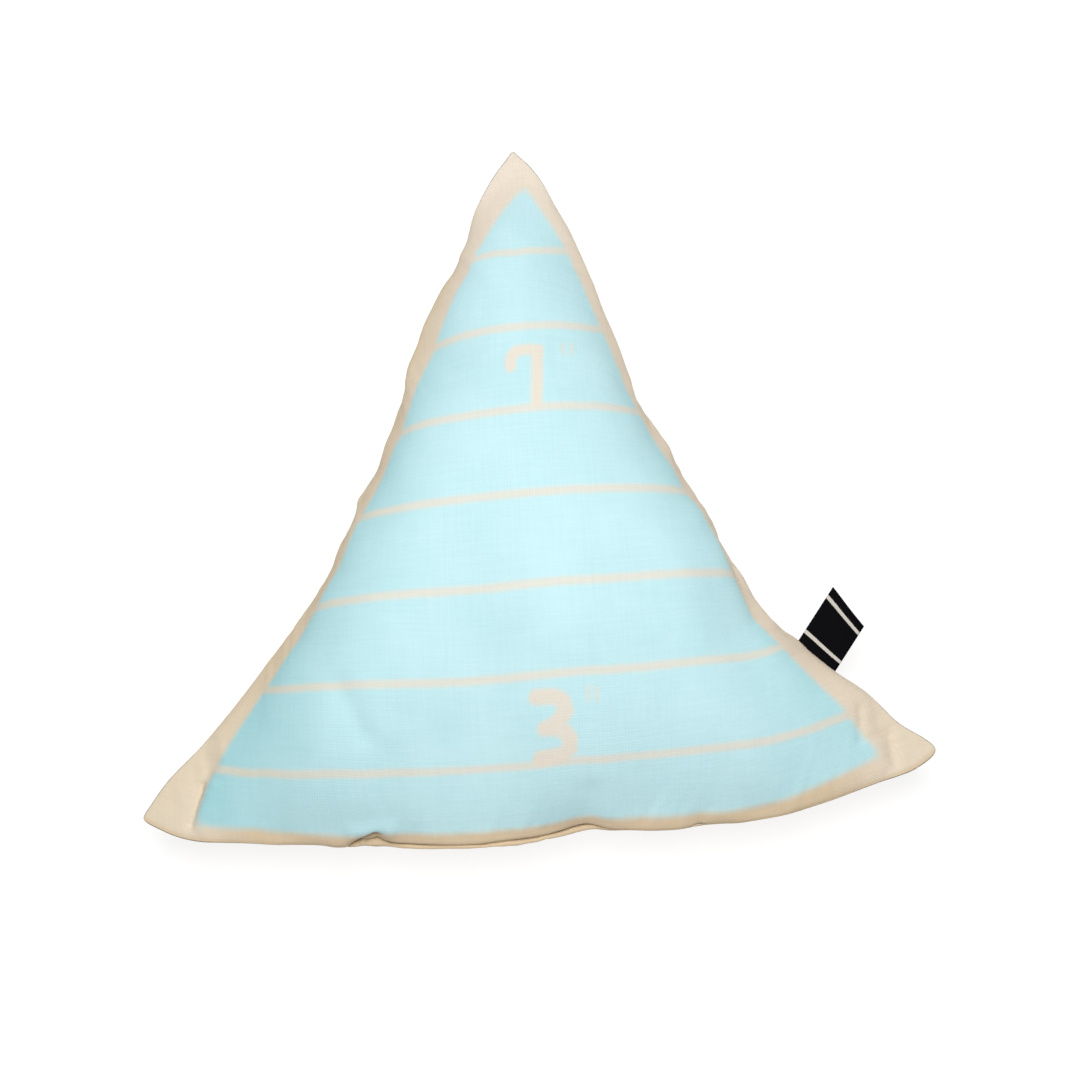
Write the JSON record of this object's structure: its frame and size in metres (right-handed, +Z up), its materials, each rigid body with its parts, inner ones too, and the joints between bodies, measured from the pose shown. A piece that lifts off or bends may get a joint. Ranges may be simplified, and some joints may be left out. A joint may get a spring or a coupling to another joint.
{
  "type": "triangle cushion",
  "caption": "Filled triangular cushion lying on its back, crowned, with sides drawn in between flat pointed tips and a folded label in one seam.",
  "frame": {"origin": "on the surface that the cushion lies on, under the middle of its outline", "axes": "+X along the base seam towards the right tip, +Y towards the apex, +Z up through the front panel"},
  "size_m": [0.4, 0.3692, 0.096],
  "materials": {
    "cover": "matt printed cotton canvas, pale aqua with a natural cream edge, lines and back",
    "label": "black woven tape"
  },
  "bodies": {
    "root": {"cushion": "cover", "label": "label"}
  },
  "joints": []
}
